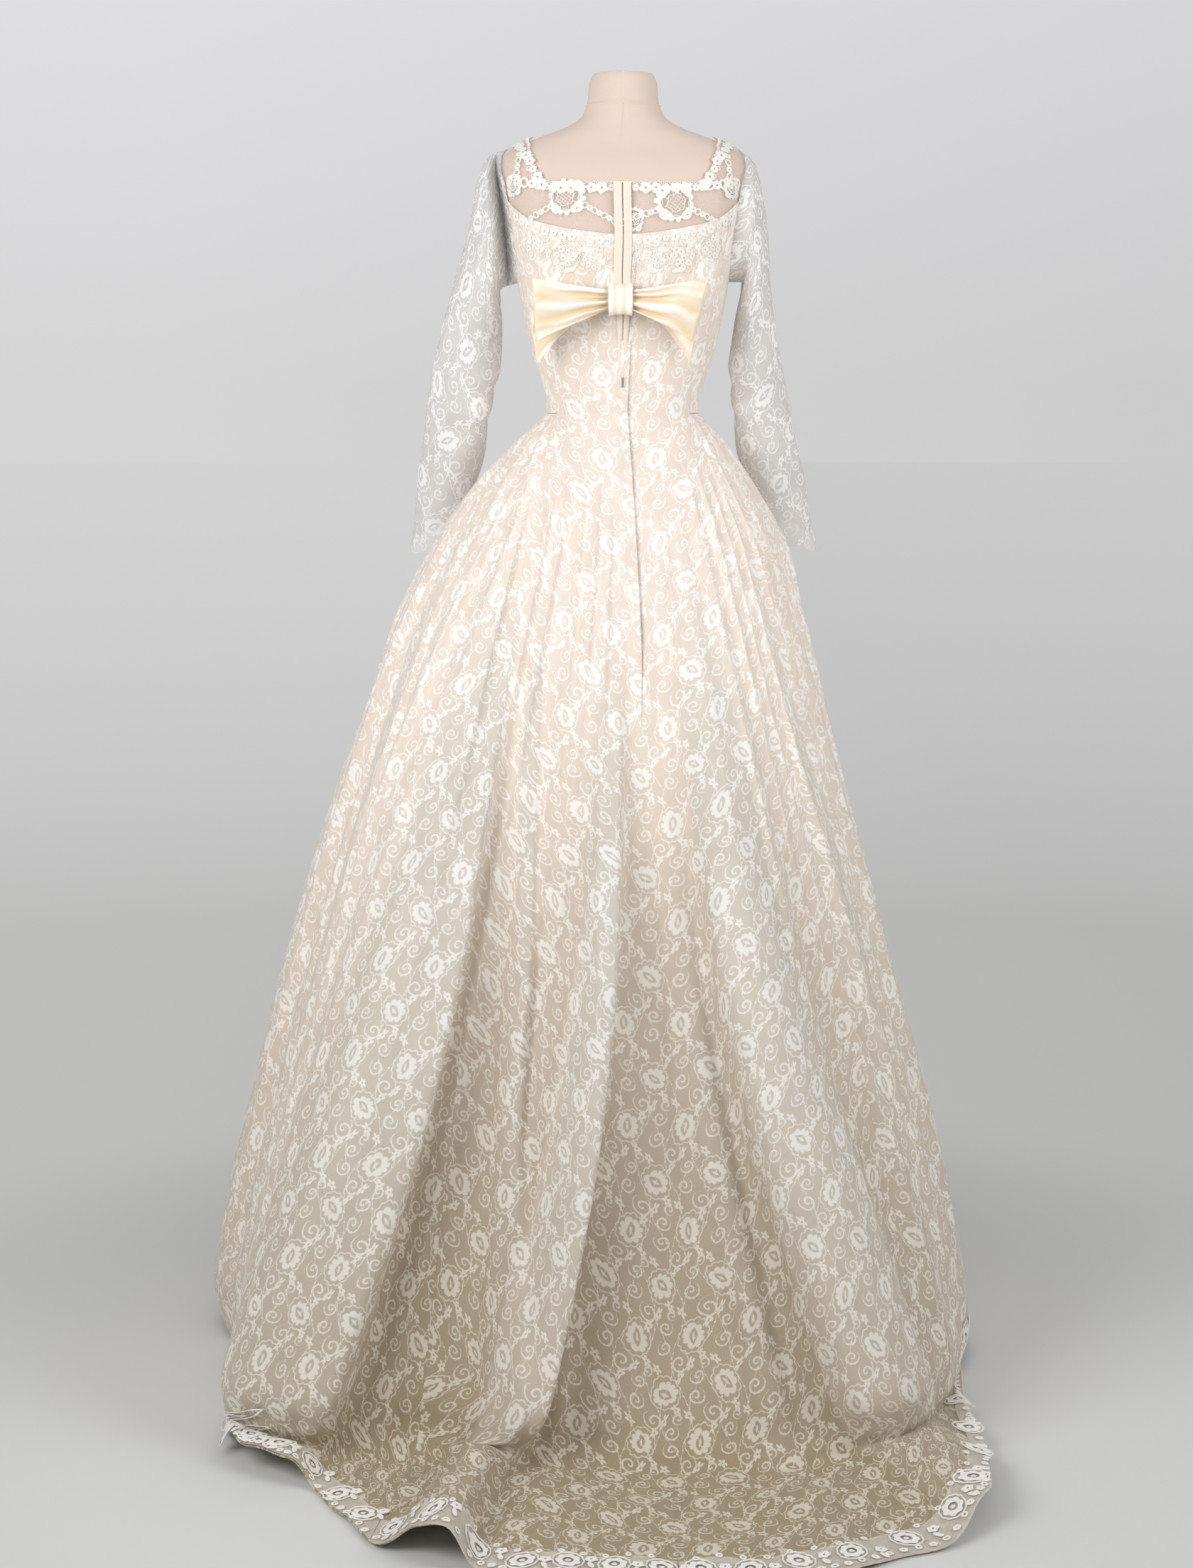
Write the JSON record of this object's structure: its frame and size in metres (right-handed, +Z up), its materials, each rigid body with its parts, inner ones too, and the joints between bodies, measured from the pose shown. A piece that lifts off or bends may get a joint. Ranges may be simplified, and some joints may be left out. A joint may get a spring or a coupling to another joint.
{
  "type": "wedding dress on a dress form",
  "caption": "Long-sleeved lace wedding dress with a sheer yoke, back bow, full skirt and train, standing on a limbless dress form.",
  "frame": {"origin": "centre of the stand's underside, on the floor below the form's pole", "axes": "+Z up; the back of the dress and its train point to -Y, the front to +Y, and +X is the right of someone looking at the back"},
  "size_m": [0.9647, 1.3161, 1.5896],
  "materials": {
    "linen": "woven",
    "painted_steel": "satin",
    "lace_on_satin": "corded lace over satin",
    "ivory_satin": "satin",
    "corded_lace": "corded lace",
    "sheer_net": "fine net",
    "sheer_lace": "allover lace on net",
    "zip_metal": "satin",
    "bow_satin": "satin"
  },
  "bodies": {
    "root": {"form_torso": "linen", "form_pole": "painted_steel", "form_base": "painted_steel", "bodice_front": "lace_on_satin", "bodice_side_left": "lace_on_satin", "bodice_side_right": "lace_on_satin", "centre_back_left": "lace_on_satin", "centre_back_right": "lace_on_satin", "skirt_side_left": "lace_on_satin", "skirt_side_right": "lace_on_satin", "skirt_front": "lace_on_satin", "underskirt_hem": "ivory_satin", "hem_trim_left": "corded_lace", "hem_trim_right": "corded_lace", "neckline_trim": "corded_lace", "yoke_back_left": "sheer_net", "yoke_back_right": "sheer_net", "yoke_front": "sheer_net", "sleeve_left": "sheer_lace", "sleeve_right": "sheer_lace", "placket_left": "ivory_satin", "placket_right": "ivory_satin", "zip_slider": "zip_metal", "bow_upper_left": "bow_satin", "bow_upper_right": "bow_satin", "bow_lower_left": "bow_satin", "bow_lower_right": "bow_satin", "bow_knot": "bow_satin"}
  },
  "joints": []
}
